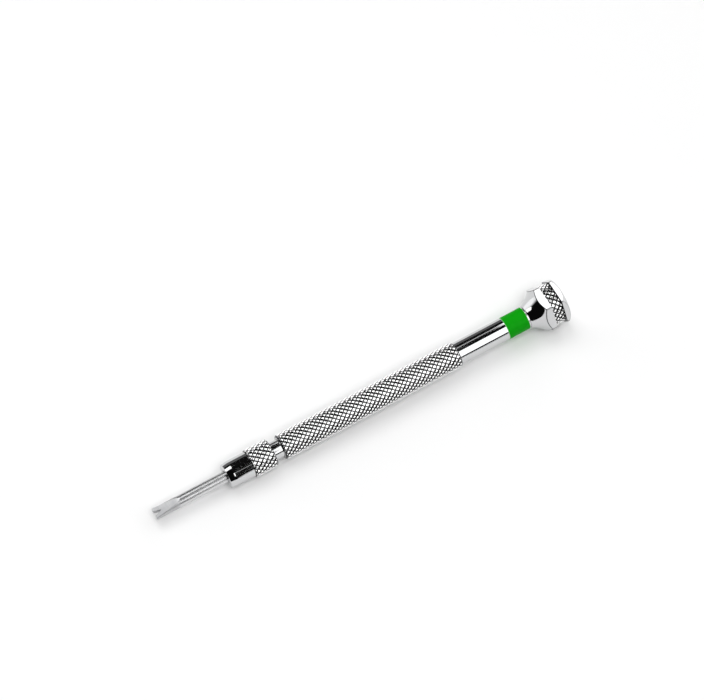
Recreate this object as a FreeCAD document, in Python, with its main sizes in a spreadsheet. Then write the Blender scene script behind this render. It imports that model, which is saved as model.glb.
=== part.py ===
import FreeCAD, Part
import Sketcher
import math
import os

# Watchmaker's fork-tipped screwdriver with a collet chuck and a swivelling head.
#
# The tool lies along X: the fork tip points to -X and the swivel head to +X, with one of the
# head's hexagon flats down on the plane Z = 0.  Inside each body, X is the station: the distance
# from the fork tip, in millimetres.  Every body is then moved so that the origin is in the middle
# of the tool's length, on the plane that it lies on.


# ---------------------------------------------------------------- driving sizes

SIZES = (
    # fork blade
    ("blade_projection", 18.2, "blade showing in front of the chuck nut"),
    ("blade_radius", 1.35, "round blade stock"),
    ("blade_tail", 16.0, "blade held behind the nut's front face"),
    ("blade_tail_chamfer", 0.3, "bevel at the blade's inner end"),
    ("grind_length", 6.5, "length over which the two flats run out"),
    ("tip_thickness", 0.9, "thickness of the ground tip"),
    ("notch_mouth", 1.07, "opening of the fork between its prongs"),
    ("notch_depth", 1.7, "depth of the fork"),
    ("notch_root_radius", 0.14, "rounding at the bottom of the fork"),
    # chuck nut
    ("nut_nose_length", 6.0, "plain front of the nut"),
    ("nut_wall", 0.35, "nut's plain front outside the snap ring groove"),
    ("nut_lip_drop", 0.25, "nut's front face below its plain front"),
    ("nut_taper_length", 1.4, "slight taper behind the front face"),
    ("nut_knurl_length", 5.7, "knurled band of the nut"),
    ("nut_knurl_step", 0.35, "crests of the nut's knurl over its plain front"),
    ("nut_knurl_chamfer", 0.25, "bevels of the nut's knurled band"),
    ("nut_bore_clearance", 0.15, "nut's front hole round the blade"),
    ("nut_front_wall", 1.2, "front face to the inner cone"),
    ("cone_length", 3.2, "inner cone that closes the collet"),
    ("cone_mouth_step", 0.15, "small end of the inner cone over the nut's front hole"),
    ("thread_step", 0.3, "nut's thread, and the large end of its cone, over the neck"),
    ("thread_clearance", 0.05, "stem's thread in the nut's thread"),
    # collet and its snap ring
    ("collet_bore_clearance", 0.01, "collet's bore round the blade"),
    ("collet_cone_gap", 0.04, "collet's cone inside the nut's cone"),
    ("collet_setback", 0.05, "collet's front face behind the nut's inner shoulder"),
    ("collet_head_rim", 0.5, "cylindrical rim behind the collet's cone"),
    ("collet_wall", 0.29, "collet's guide in the stem"),
    ("collet_tail_length", 11.9, "collet's guide in the stem"),
    ("collet_guide_clearance", 0.03, "collet's guide in the stem's bore"),
    ("collet_slit_width", 0.3, "two crossed slits that make four jaws"),
    ("collet_slit_length", 11.5, "length of the slits"),
    ("snap_ring_thickness", 0.36, "ring that holds the collet in the nut"),
    ("snap_ring_width", 0.9, "ring's inner to outer radius"),
    ("snap_ring_depth", 0.25, "groove for the ring in the nut's bore"),
    ("snap_ring_gap", 1.2, "opening of the split ring"),
    ("snap_ring_play", 0.03, "ring in its groove, and the collet's head in front of it"),
    # chuck stem
    ("neck_length", 2.3, "polished neck between the nut and the grip"),
    ("neck_wall", 0.47, "polished neck round the collet's bore"),
    ("stem_thread_length", 5.4, "threaded front of the stem"),
    ("stem_relief", 0.5, "unthreaded end inside the nut"),
    ("stem_chamfer", 0.3, "bevels at the stem's two ends"),
    ("stem_bore_reserve", 1.0, "room behind the collet in the stem's bore"),
    ("stem_tail_step", 0.15, "part pressed into the handle, below the neck"),
    ("stem_tail_length", 7.0, "part pressed into the handle"),
    ("press_gap", 0.01, "radial gap kept between pieces that are pressed together"),
    ("stem_hole_reserve", 0.2, "room behind the stem in the handle"),
    # handle
    ("grip_length", 45.9, "knurled grip"),
    ("grip_wall", 1.04, "crests of the grip's knurl outside the stem's hole"),
    ("grip_chamfer", 0.35, "bevels at both ends of the grip"),
    ("shank_length", 12.5, "polished shank behind the grip"),
    ("shank_drop", 0.37, "polished shank below the grip's crests"),
    ("journal_wall", 0.99, "seat of the colour ring round the tapped hole"),
    # colour ring and thrust washer
    ("ring_length", 5.4, "colour ring"),
    ("ring_wall", 0.77, "colour ring"),
    ("ring_chamfer", 0.12, "bevels of the colour ring"),
    ("washer_thickness", 0.3, "thrust washer between the ring and the head"),
    ("washer_width", 1.39, "thrust washer, from its hole to its edge"),
    # swivel pivot
    ("end_play", 0.03, "axial play of the head, taken twice"),
    ("pivot_radius", 1.2, "screw's shoulder that the head turns on"),
    ("pivot_clearance", 0.03, "running clearance of the bush"),
    ("pivot_thread_step", 0.3, "screw's thread in the handle, below its shoulder"),
    ("pivot_thread_length", 6.0, "screw's thread in the handle"),
    ("tap_reserve", 0.5, "room at the bottom of the tapped hole"),
    ("pivot_head_step", 0.9, "screw's head over its shoulder"),
    ("screw_slot_width", 0.5, "driver slot of the screw"),
    ("screw_slot_depth", 0.4, "driver slot of the screw"),
    ("bush_wall", 0.67, "bronze bush in the head"),
    ("bush_length", 3.6, "bronze bush in the head"),
    ("spring_height", 0.27, "disc spring under the screw's head"),
    ("spring_thickness", 0.13, "disc spring's sheet"),
    ("spring_width", 1.09, "disc spring, from its hole to its edge"),
    ("ball_radius", 0.6, "ball that takes the finger's push"),
    ("ball_seat_depth", 0.5, "seat of the ball in the screw's head"),
    ("ball_clearance", 0.03, "ball in its seat, and below the finger rest"),
    # swivel head
    ("head_across_flats", 10.05, "hexagon of the head"),
    ("corner_break", 0.05, "turned off the hexagon's corners"),
    ("bell_front_wall", 0.81, "small end of the bell round the bush"),
    ("bell_length", 3.67, "bell from its small end to the hexagon's corners"),
    ("bell_curve", 10.0, "radius of the bell's hollow flare"),
    ("flange_length", 1.4, "hexagon at its corners, in front of the knurled band"),
    ("band_length", 2.6, "knurled band of the head"),
    ("band_step", 0.175, "crests of the head's knurl below its flats"),
    ("cap_length", 1.5, "hexagonal end behind the knurled band"),
    ("cap_rounding_length", 1.05, "turned rounding of the cap, along the tool"),
    ("cap_rounding_drop", 1.25, "turned rounding of the cap, across the tool"),
    ("cap_rounding_curve", 2.2, "radius of the turned rounding"),
    ("chamber_gap", 0.2, "room round the disc spring and the screw's head"),
    ("chamber_length", 2.37, "room for the screw's head"),
    ("rest_wall", 1.525, "head's wall from the finger rest to its flats"),
    ("rest_setback", 0.12, "finger rest below the head's end face"),
    ("rest_rim", 0.35, "flat rim round the finger rest's dish"),
    ("rest_dish_depth", 0.9, "depth of the dish"),
)


class Size:
    """A length with its number and the expression of sheet cells that it is bound to."""

    def __init__(self, number, text):
        self.number = number
        self.text = text

    def __add__(self, other):
        other = as_size(other)
        return Size(self.number + other.number, f"({self.text} + {other.text})")

    def __sub__(self, other):
        other = as_size(other)
        return Size(self.number - other.number, f"({self.text} - {other.text})")

    def __neg__(self):
        return Size(-self.number, f"(0 - {self.text})")

    def __mul__(self, factor):
        return Size(self.number * factor, f"({self.text} * {factor!r})")

    def __truediv__(self, factor):
        return Size(self.number / factor, f"({self.text} / {factor!r})")


def as_size(value):
    """The value itself if it is a Size, or a plain number as a Size."""
    if isinstance(value, Size):
        return value
    return Size(float(value), repr(float(value)))


ZERO = as_size(0)

doc = FreeCAD.newDocument("watchmaker_screwdriver")
sheet = doc.addObject("Spreadsheet::Sheet", "Sizes")


def fill_sheet():
    """Writes each driving size into the sheet, with its name as the cell's alias."""
    for row, (name, value, meaning) in enumerate(SIZES, start=1):
        sheet.set(f"A{row}", name)
        sheet.set(f"B{row}", repr(value))
        sheet.set(f"C{row}", meaning)
        sheet.setAlias(f"B{row}", name)
    doc.recompute()


def size(name):
    """The named cell of the sheet as a Size."""
    return Size(float(sheet.get(name)), f"Sizes.{name}")


fill_sheet()


# ---------------------------------------------------------------- stations from the fork tip

TIP = ZERO
NUT_FRONT = TIP + size("blade_projection")
NUT_KNURL_FRONT = NUT_FRONT + size("nut_nose_length")
NUT_REAR = NUT_KNURL_FRONT + size("nut_knurl_length")
GRIP_FRONT = NUT_REAR + size("neck_length")
GRIP_REAR = GRIP_FRONT + size("grip_length")
SHANK_REAR = GRIP_REAR + size("shank_length")
RING_REAR = SHANK_REAR + size("ring_length")
WASHER_REAR = RING_REAR + size("washer_thickness")
HEAD_FRONT = WASHER_REAR + size("end_play")
FLANGE_FRONT = HEAD_FRONT + size("bell_length")
FLANGE_REAR = FLANGE_FRONT + size("flange_length")
BAND_REAR = FLANGE_REAR + size("band_length")
TOOL_END = BAND_REAR + size("cap_length")

# the chuck's inner stations
CONE_FRONT = NUT_FRONT + size("nut_front_wall")
CONE_REAR = CONE_FRONT + size("cone_length")
COLLET_FRONT = CONE_FRONT + size("collet_setback")
COLLET_HEAD_REAR = CONE_REAR + size("collet_head_rim")
COLLET_REAR = COLLET_HEAD_REAR + size("collet_tail_length")
SNAP_RING_FRONT = COLLET_HEAD_REAR + size("snap_ring_play")
SNAP_RING_REAR = SNAP_RING_FRONT + size("snap_ring_thickness")
STEM_THREAD_REAR = NUT_REAR - size("stem_relief")
STEM_FRONT = STEM_THREAD_REAR - size("stem_thread_length")
STEM_BORE_REAR = COLLET_REAR + size("stem_bore_reserve")
STEM_REAR = GRIP_FRONT + size("stem_tail_length")

# the swivel's inner stations
CHAMBER_FRONT = HEAD_FRONT + size("bush_length")
REST_FLOOR = CHAMBER_FRONT + size("chamber_length")
SPRING_FRONT = CHAMBER_FRONT + size("end_play")
SCREW_HEAD_FRONT = SPRING_FRONT + size("spring_height")
BALL_CENTRE = REST_FLOOR - size("ball_clearance") - size("ball_radius")
BALL_SEAT = BALL_CENTRE - size("ball_radius")
SCREW_HEAD_REAR = BALL_SEAT + size("ball_seat_depth")
REST_TOP = TOOL_END - size("rest_setback")

# the head's hexagon: height of a flat over the axis, corners broken by turning, and the round band
FLAT_HEIGHT = size("head_across_flats") / 2.0
HEX_CORNER = size("head_across_flats") / math.sqrt(3.0)
HEAD_CORNER = HEX_CORNER - size("corner_break")
BAND_RADIUS = FLAT_HEIGHT - size("band_step")
OUTSIDE = HEX_CORNER + 2.0

# the chuck's radii, from the blade outwards
COLLET_BORE = size("blade_radius") + size("collet_bore_clearance")
COLLET_TAIL = COLLET_BORE + size("collet_wall")
STEM_BORE = COLLET_TAIL + size("collet_guide_clearance")
NECK_RADIUS = STEM_BORE + size("neck_wall")
STEM_TAIL_RADIUS = NECK_RADIUS - size("stem_tail_step")
THREAD_RADIUS = NECK_RADIUS + size("thread_step")
NUT_BORE = size("blade_radius") + size("nut_bore_clearance")
CONE_MOUTH = NUT_BORE + size("cone_mouth_step")
SNAP_GROOVE_RADIUS = THREAD_RADIUS + size("snap_ring_depth")
NUT_NOSE_RADIUS = SNAP_GROOVE_RADIUS + size("nut_wall")
NUT_CREST = NUT_NOSE_RADIUS + size("nut_knurl_step")

# the handle's radii
GRIP_HOLE = STEM_TAIL_RADIUS + size("press_gap")
GRIP_CREST = GRIP_HOLE + size("grip_wall")
SHANK_RADIUS = GRIP_CREST - size("shank_drop")

# the swivel's radii, from the screw outwards
PIVOT_THREAD = size("pivot_radius") - size("pivot_thread_step")
TAP_RADIUS = PIVOT_THREAD + size("press_gap")
JOURNAL_RADIUS = TAP_RADIUS + size("journal_wall")
RING_BORE = JOURNAL_RADIUS + size("press_gap")
WASHER_BORE = size("pivot_radius") + size("press_gap")
PIVOT_HEAD = size("pivot_radius") + size("pivot_head_step")
SPRING_RADIUS = WASHER_BORE + size("spring_width")
BUSH_BORE = size("pivot_radius") + size("pivot_clearance")
BUSH_RADIUS = BUSH_BORE + size("bush_wall")
BUSH_SEAT = BUSH_RADIUS + size("press_gap")
BELL_FRONT_RADIUS = BUSH_SEAT + size("bell_front_wall")
CHAMBER_RADIUS = SPRING_RADIUS + size("chamber_gap")
REST_RADIUS = FLAT_HEIGHT - size("rest_wall")


# ---------------------------------------------------------------- helpers

def new_body(name):
    """An empty body, placed so that its stations and the tool's axis lie in the tool's frame."""
    body = doc.addObject("PartDesign::Body", name)
    body.Label = name
    body.setExpression("Placement.Base.x", (-(TOOL_END / 2.0)).text)
    body.setExpression("Placement.Base.z", FLAT_HEIGHT.text)
    return body


def origin_plane(body, role):
    """The body's own origin plane of that role."""
    for feature in body.Origin.OriginFeatures:
        if feature.Role == role:
            return feature
    raise RuntimeError(f"{body.Label} has no {role}")


def arc_between(start, end, radius, bulge_left):
    """An anticlockwise arc between two points, its middle left or right of the way to the end.

    Returns the arc and which of its own ends, 1 or 2, is the start."""
    chord = end - start
    half = chord.Length / 2.0
    side = FreeCAD.Vector(chord.y, -chord.x, 0).normalize()
    if bulge_left:
        side = -side
    rise = radius - math.sqrt(radius * radius - half * half)
    middle = (start + end) / 2.0 + side * rise
    if bulge_left:
        return Part.Arc(end, middle, start), 2
    return Part.Arc(start, middle, end), 1


def outline(body, name, role, corners, arcs=()):
    """A closed sketch through the corners, which are pairs of Sizes.

    arcs gives (side, radius, bulge_left) for the sides that are arcs; side n leaves corner n."""
    sketch = body.newObject("Sketcher::SketchObject", name)
    sketch.AttachmentSupport = [(origin_plane(body, role), "")]
    sketch.MapMode = "FlatFace"
    curved = {side: (radius, bulge_left) for side, radius, bulge_left in arcs}
    points = [FreeCAD.Vector(along.number, across.number, 0) for along, across in corners]
    count = len(points)
    starts = []
    for side in range(count):
        start = points[side]
        end = points[(side + 1) % count]
        edge, first_end = Part.LineSegment(start, end), 1
        if side in curved:
            radius, bulge_left = curved[side]
            edge, first_end = arc_between(start, end, radius.number, bulge_left)
        sketch.addGeometry(edge, False)
        starts.append(first_end)
    for side in range(count):
        after = (side + 1) % count
        sketch.addConstraint(
            Sketcher.Constraint("Coincident", side, 3 - starts[side], after, starts[after]))
    for side, (along, across) in enumerate(corners):
        for kind, length in (("DistanceX", along), ("DistanceY", across)):
            number = sketch.addConstraint(
                Sketcher.Constraint(kind, -1, 1, side, starts[side], length.number))
            if length is not ZERO:
                sketch.setExpression(f"Constraints[{number}]", length.text)
    for side, (radius, _) in curved.items():
        number = sketch.addConstraint(Sketcher.Constraint("Radius", side, radius.number))
        sketch.setExpression(f"Constraints[{number}]", radius.text)
    return sketch


def turn(body, corners, arcs=()):
    """Turns the body from an outline of (station, radius) corners about the tool's axis."""
    feature = body.newObject("PartDesign::Revolution", body.Label + "_turned")
    feature.Profile = outline(body, body.Label + "_profile", "XZ_Plane", corners, arcs)
    feature.ReferenceAxis = (feature.Profile[0], ["H_Axis"])
    feature.Angle = 360.0
    body.Tip = feature
    doc.recompute()
    return feature


def remove(body, kind, name, role, corners, arcs=(), depth=None):
    """Takes an outline away from the body, by turning (Groove) or straight through (Pocket)."""
    before = body.Shape.Volume
    sketch = outline(body, name + "_outline", role, corners, arcs)
    feature = body.newObject(kind, name)
    feature.Profile = sketch
    if kind == "PartDesign::Groove":
        feature.ReferenceAxis = (sketch, ["H_Axis"])
        feature.Angle = 360.0
    else:
        feature.Type = "Length"
        feature.SideType = "Symmetric"
        feature.setExpression("Length", depth.text)
    body.Tip = feature
    doc.recompute()
    if not body.Shape.Volume < before - 1e-6:
        raise RuntimeError(f"{name} removed nothing from {body.Label}")
    return feature


def box_corners(low_along, high_along, low_across, high_across):
    """The four corners of a rectangle."""
    return ((low_along, low_across), (high_along, low_across),
            (high_along, high_across), (low_along, high_across))


def tube(name, front, rear, inner, outer):
    """A plain tube between two stations."""
    body = new_body(name)
    turn(body, box_corners(front, rear, inner, outer))
    return body


# ---------------------------------------------------------------- the sub-parts

def make_fork_blade():
    """Round blade with two ground flats that run out, and a fork cut into its flat tip."""
    body = new_body("fork_blade")
    radius = size("blade_radius")
    rear = NUT_FRONT + size("blade_tail")
    bevel = size("blade_tail_chamfer")
    turn(body, ((TIP, ZERO), (TIP, radius), (rear - bevel, radius), (rear, radius - bevel), (rear, ZERO)))
    half_tip = size("tip_thickness") / 2.0
    clear = radius + 1.0
    for name, side in (("upper_flat", 1.0), ("lower_flat", -1.0)):
        remove(body, "PartDesign::Pocket", name, "XZ_Plane",
               ((TIP, half_tip * side), (size("grind_length"), radius * side),
                (size("grind_length"), clear * side), (TIP, clear * side)),
               depth=clear * 2.0)
    half_mouth = size("notch_mouth") / 2.0
    root = size("notch_root_radius")
    shoulder = size("notch_depth") - root
    remove(body, "PartDesign::Pocket", "fork_notch", "XY_Plane",
           ((TIP, -half_mouth), (shoulder, -root), (shoulder, root), (TIP, half_mouth)),
           arcs=((1, root * 1.0001, False),), depth=clear * 2.0)
    return body


def make_chuck_nut():
    """Nut with a plain nose, a knurled band, an inner cone, a thread and a snap ring groove."""
    body = new_body("chuck_nut")
    bevel = size("nut_knurl_chamfer")
    groove_rear = SNAP_RING_REAR + size("snap_ring_play")
    turn(body, (
        (NUT_FRONT, NUT_BORE),
        (NUT_FRONT, NUT_NOSE_RADIUS - size("nut_lip_drop")),
        (NUT_FRONT + size("nut_taper_length"), NUT_NOSE_RADIUS),
        (NUT_KNURL_FRONT, NUT_NOSE_RADIUS),
        (NUT_KNURL_FRONT, NUT_CREST - bevel),
        (NUT_KNURL_FRONT + bevel, NUT_CREST),
        (NUT_REAR - bevel, NUT_CREST),
        (NUT_REAR, NUT_CREST - bevel),
        (NUT_REAR, THREAD_RADIUS),
        (groove_rear, THREAD_RADIUS),
        (groove_rear, SNAP_GROOVE_RADIUS),
        (COLLET_HEAD_REAR, SNAP_GROOVE_RADIUS),
        (COLLET_HEAD_REAR, THREAD_RADIUS),
        (CONE_REAR, THREAD_RADIUS),
        (CONE_FRONT, CONE_MOUTH),
        (CONE_FRONT, NUT_BORE)))
    return body


def make_collet():
    """Slit collet: a cone at the front, four jaws and a plain guide at the back."""
    body = new_body("collet")
    rim = THREAD_RADIUS - size("collet_cone_gap")
    turn(body, (
        (COLLET_FRONT, COLLET_BORE),
        (COLLET_FRONT, CONE_MOUTH - size("collet_cone_gap")),
        (CONE_REAR, rim),
        (COLLET_HEAD_REAR, rim),
        (COLLET_HEAD_REAR, COLLET_TAIL),
        (COLLET_REAR, COLLET_TAIL),
        (COLLET_REAR, COLLET_BORE)))
    half_slit = size("collet_slit_width") / 2.0
    start = COLLET_FRONT - 1.0
    end = COLLET_FRONT + size("collet_slit_length")
    for name, role in (("level_slit", "XY_Plane"), ("upright_slit", "XZ_Plane")):
        remove(body, "PartDesign::Pocket", name, role,
               box_corners(start, end, -half_slit, half_slit), depth=rim * 3.0)
    return body


def make_collet_ring():
    """Split snap ring in the nut's groove, behind the collet's head."""
    outer = SNAP_GROOVE_RADIUS - size("press_gap")
    inner = outer - size("snap_ring_width")
    body = tube("collet_ring", SNAP_RING_FRONT, SNAP_RING_REAR, inner, outer)
    half_gap = size("snap_ring_gap") / 2.0
    remove(body, "PartDesign::Pocket", "ring_gap", "YZ_Plane",
           box_corners(-half_gap, half_gap, ZERO, outer + 1.0), depth=SNAP_RING_REAR * 3.0)
    return body


def make_chuck_stem():
    """Stem pressed into the handle: threaded front with the collet's bore, neck and plain tail."""
    body = new_body("chuck_stem")
    bevel = size("stem_chamfer")
    thread = THREAD_RADIUS - size("thread_clearance")
    turn(body, (
        (STEM_FRONT, STEM_BORE),
        (STEM_FRONT, thread - bevel),
        (STEM_FRONT + bevel, thread),
        (STEM_THREAD_REAR, thread),
        (STEM_THREAD_REAR, NECK_RADIUS),
        (GRIP_FRONT, NECK_RADIUS),
        (GRIP_FRONT, STEM_TAIL_RADIUS),
        (STEM_REAR - bevel, STEM_TAIL_RADIUS),
        (STEM_REAR, STEM_TAIL_RADIUS - bevel),
        (STEM_REAR, ZERO),
        (STEM_BORE_REAR, ZERO),
        (STEM_BORE_REAR, STEM_BORE)))
    return body


def make_handle():
    """One turned bar: knurled grip, polished shank, ring seat, a front hole and a tapped rear hole."""
    body = new_body("handle")
    bevel = size("grip_chamfer")
    hole_rear = STEM_REAR + size("stem_hole_reserve")
    tap_front = RING_REAR - size("pivot_thread_length") - size("tap_reserve")
    turn(body, (
        (GRIP_FRONT, GRIP_HOLE),
        (GRIP_FRONT, GRIP_CREST - bevel),
        (GRIP_FRONT + bevel, GRIP_CREST),
        (GRIP_REAR - bevel, GRIP_CREST),
        (GRIP_REAR, GRIP_CREST - bevel),
        (GRIP_REAR, SHANK_RADIUS),
        (SHANK_REAR, SHANK_RADIUS),
        (SHANK_REAR, JOURNAL_RADIUS),
        (RING_REAR, JOURNAL_RADIUS),
        (RING_REAR, TAP_RADIUS),
        (tap_front, TAP_RADIUS),
        (tap_front, ZERO),
        (hole_rear, ZERO),
        (hole_rear, GRIP_HOLE)))
    return body


def make_colour_ring():
    """Plastic ring that marks the tool's size, on its seat at the end of the handle."""
    body = new_body("colour_ring")
    bevel = size("ring_chamfer")
    outer = RING_BORE + size("ring_wall")
    turn(body, (
        (SHANK_REAR, RING_BORE),
        (SHANK_REAR, outer - bevel),
        (SHANK_REAR + bevel, outer),
        (RING_REAR - bevel, outer),
        (RING_REAR, outer - bevel),
        (RING_REAR, RING_BORE)))
    return body


def make_thrust_washer():
    """Steel washer between the handle's end and the swivel head."""
    outer = WASHER_BORE + size("washer_width")
    return tube("thrust_washer", RING_REAR, WASHER_REAR, WASHER_BORE, outer)


def make_pivot_screw():
    """Shoulder screw that the head turns on, with a slot and a seat for the ball in its head."""
    body = new_body("pivot_screw")
    shoulder = size("pivot_radius")
    seat = size("ball_radius") + size("ball_clearance")
    turn(body, (
        (RING_REAR - size("pivot_thread_length"), ZERO),
        (RING_REAR - size("pivot_thread_length"), PIVOT_THREAD),
        (RING_REAR, PIVOT_THREAD),
        (RING_REAR, shoulder),
        (SCREW_HEAD_FRONT, shoulder),
        (SCREW_HEAD_FRONT, PIVOT_HEAD),
        (SCREW_HEAD_REAR, PIVOT_HEAD),
        (SCREW_HEAD_REAR, seat),
        (BALL_SEAT, seat),
        (BALL_SEAT, ZERO)))
    half_slot = size("screw_slot_width") / 2.0
    remove(body, "PartDesign::Pocket", "driver_slot", "XZ_Plane",
           box_corners(SCREW_HEAD_REAR - size("screw_slot_depth"), SCREW_HEAD_REAR + 1.0,
                       -half_slot, half_slot), depth=PIVOT_HEAD * 3.0)
    return body


def make_disc_spring():
    """Dished spring washer that takes up the head's end play."""
    body = new_body("disc_spring")
    sheet_thickness = size("spring_thickness")
    turn(body, (
        (SPRING_FRONT, SPRING_RADIUS),
        (SPRING_FRONT + sheet_thickness, SPRING_RADIUS),
        (SCREW_HEAD_FRONT, WASHER_BORE),
        (SCREW_HEAD_FRONT - sheet_thickness, WASHER_BORE)))
    return body


def make_bearing_ball():
    """Steel ball between the pivot screw and the finger rest."""
    ball = doc.addObject("Part::Sphere", "bearing_ball")
    ball.Label = "bearing_ball"
    ball.setExpression("Radius", size("ball_radius").text)
    ball.setExpression("Placement.Base.x", (BALL_CENTRE - TOOL_END / 2.0).text)
    ball.setExpression("Placement.Base.z", FLAT_HEIGHT.text)
    return ball


def make_pivot_bush():
    """Bronze bush pressed into the head, running on the screw's shoulder."""
    return tube("pivot_bush", HEAD_FRONT, CHAMBER_FRONT, BUSH_BORE, BUSH_RADIUS)


def make_swivel_head():
    """Blank turned to a bell, a round band and a rounded cap, bored for the pivot, with six flats."""
    body = new_body("swivel_head")
    seat = REST_RADIUS + size("press_gap")
    turn(body, (
        (HEAD_FRONT, BUSH_SEAT),
        (HEAD_FRONT, BELL_FRONT_RADIUS),
        (FLANGE_FRONT, HEAD_CORNER),
        (FLANGE_REAR, HEAD_CORNER),
        (FLANGE_REAR, BAND_RADIUS),
        (BAND_REAR, BAND_RADIUS),
        (BAND_REAR, HEAD_CORNER),
        (TOOL_END - size("cap_rounding_length"), HEAD_CORNER),
        (TOOL_END, HEAD_CORNER - size("cap_rounding_drop")),
        (TOOL_END, seat),
        (REST_FLOOR, seat),
        (REST_FLOOR, CHAMBER_RADIUS),
        (CHAMBER_FRONT, CHAMBER_RADIUS),
        (CHAMBER_FRONT, BUSH_SEAT)),
         arcs=((1, size("bell_curve"), False), (7, size("cap_rounding_curve"), True)))
    flat = remove(body, "PartDesign::Pocket", "one_flat", "XZ_Plane",
                  box_corners(HEAD_FRONT - 1.0, TOOL_END + 1.0, FLAT_HEIGHT, OUTSIDE),
                  depth=OUTSIDE * 2.0)
    before = body.Shape.Volume
    flats = body.newObject("PartDesign::PolarPattern", "six_flats")
    flats.Originals = [flat]
    flats.Axis = (flat.Profile[0], ["H_Axis"])
    flats.Angle = 360.0
    flats.Occurrences = 6
    body.Tip = flats
    doc.recompute()
    if not body.Shape.Volume < before - 1e-6:
        raise RuntimeError("the other five flats removed nothing")
    return body


def make_finger_rest():
    """Dished plug pressed into the head's end, where a finger tip rests."""
    body = new_body("finger_rest")
    dish = REST_RADIUS - size("rest_rim")
    depth = size("rest_dish_depth")
    curve = Size((dish.number ** 2 + depth.number ** 2) / (2.0 * depth.number),
                 f"(({dish.text} ^ 2 + {depth.text} ^ 2) / (2 * {depth.text}))")
    turn(body, (
        (REST_FLOOR, ZERO),
        (REST_FLOOR, REST_RADIUS),
        (REST_TOP, REST_RADIUS),
        (REST_TOP, dish),
        (REST_TOP - depth, ZERO)),
         arcs=((3, curve, False),))
    return body


MAKERS = (
    make_fork_blade, make_chuck_nut, make_collet, make_collet_ring, make_chuck_stem, make_handle,
    make_colour_ring, make_thrust_washer, make_pivot_screw, make_disc_spring, make_bearing_ball,
    make_pivot_bush, make_swivel_head, make_finger_rest,
)


def check_document(parts):
    """Stops if any object failed, or any sub-part is not one valid closed solid."""
    for item in doc.Objects:
        for state in item.State:
            if state in ("Invalid", "Error"):
                raise RuntimeError(f"{item.Label} is {state}")
    for part in parts:
        shape = part.Shape
        if shape.isNull() or not shape.isValid() or len(shape.Solids) != 1:
            raise RuntimeError(f"{part.Label} has no valid single solid")


def main():
    parts = [maker() for maker in MAKERS]
    doc.recompute()
    check_document(parts)
    os.makedirs("parts", exist_ok=True)
    for part in parts:
        part.Shape.exportStep(os.path.join("parts", part.Label + ".step"))
        print(f"{part.Label}: {part.Shape.Volume:.3f} mm3")


main()
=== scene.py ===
import math

import bmesh
import bpy
import numpy as np
from mathutils import Matrix, Vector


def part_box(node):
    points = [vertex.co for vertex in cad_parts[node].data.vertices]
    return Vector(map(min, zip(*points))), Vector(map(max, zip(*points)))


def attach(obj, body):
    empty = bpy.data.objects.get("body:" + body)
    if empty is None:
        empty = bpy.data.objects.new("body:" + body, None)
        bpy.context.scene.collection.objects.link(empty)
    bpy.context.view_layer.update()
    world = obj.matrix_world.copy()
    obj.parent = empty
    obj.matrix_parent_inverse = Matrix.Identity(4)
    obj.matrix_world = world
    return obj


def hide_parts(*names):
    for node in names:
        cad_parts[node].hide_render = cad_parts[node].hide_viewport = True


# Looks of the watchmaker's fork-tipped screwdriver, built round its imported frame.
#
# Lengths are in metres, written as millimetres times MM.  The tool lies along X, its fork to -X.
# A turned piece is an outline of stations and radii carried round the tool's axis.

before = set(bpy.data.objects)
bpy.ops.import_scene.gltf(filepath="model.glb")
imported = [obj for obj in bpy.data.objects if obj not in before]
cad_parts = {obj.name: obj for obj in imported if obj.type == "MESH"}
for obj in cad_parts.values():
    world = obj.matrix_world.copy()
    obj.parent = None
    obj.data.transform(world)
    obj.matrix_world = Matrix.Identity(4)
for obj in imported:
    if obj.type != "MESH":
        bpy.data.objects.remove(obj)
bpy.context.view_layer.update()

MM = 0.001


# ---------------------------------------------------------------- places, from the frame

def front_of(node):
    """Lowest station of a node of the frame."""
    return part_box(node)[0].x


def rear_of(node):
    """Highest station of a node of the frame."""
    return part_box(node)[1].x


AXIS = (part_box("swivel_head")[0].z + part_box("swivel_head")[1].z) / 2.0

TIP = front_of("fork_blade")
NUT_FRONT = front_of("chuck_nut")
NUT_REAR = rear_of("chuck_nut")
STEM_FRONT = front_of("chuck_stem")
STEM_REAR = rear_of("chuck_stem")
GRIP_FRONT = front_of("handle")
SHANK_REAR = front_of("colour_ring")
RING_REAR = rear_of("colour_ring")
HEAD_FRONT = front_of("swivel_head")
TOOL_END = rear_of("swivel_head")
REST_FLOOR = front_of("finger_rest")
REST_TOP = rear_of("finger_rest")
SNAP_RING_FRONT = front_of("collet_ring")
SNAP_RING_REAR = rear_of("collet_ring")
CHAMBER_FRONT = rear_of("pivot_bush")


# ---------------------------------------------------------------- sizes

# fork blade
BLADE_RADIUS = 1.35 * MM
BLADE_TAIL_CHAMFER = 0.3 * MM
BLADE_EDGE_BREAK = 0.03 * MM
BLADE_EDGE_ANGLE = math.radians(38.0)
GRIND_LENGTH = 6.5 * MM
TIP_THICKNESS = 0.9 * MM
NOTCH_MOUTH = 1.07 * MM
NOTCH_DEPTH = 1.7 * MM
NOTCH_ROOT = 0.14 * MM
NOTCH_CUTTER_HALF_HEIGHT = 2.0 * MM
NOTCH_CUTTER_OVERRUN = 1.0 * MM

# chuck stem
FIT_GAP = 0.01 * MM
NECK_RADIUS = 2.15 * MM
STEM_BORE = NECK_RADIUS - 0.47 * MM
STEM_BORE_REAR = rear_of("collet") + 1.0 * MM
STEM_THREAD = NECK_RADIUS + 0.25 * MM
STEM_THREAD_LENGTH = 5.4 * MM
STEM_CHAMFER = 0.3 * MM
STEM_TAIL = NECK_RADIUS - 0.15 * MM
THREAD_PITCH = 0.5 * MM
THREAD_DEPTH = 0.27 * MM

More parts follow.
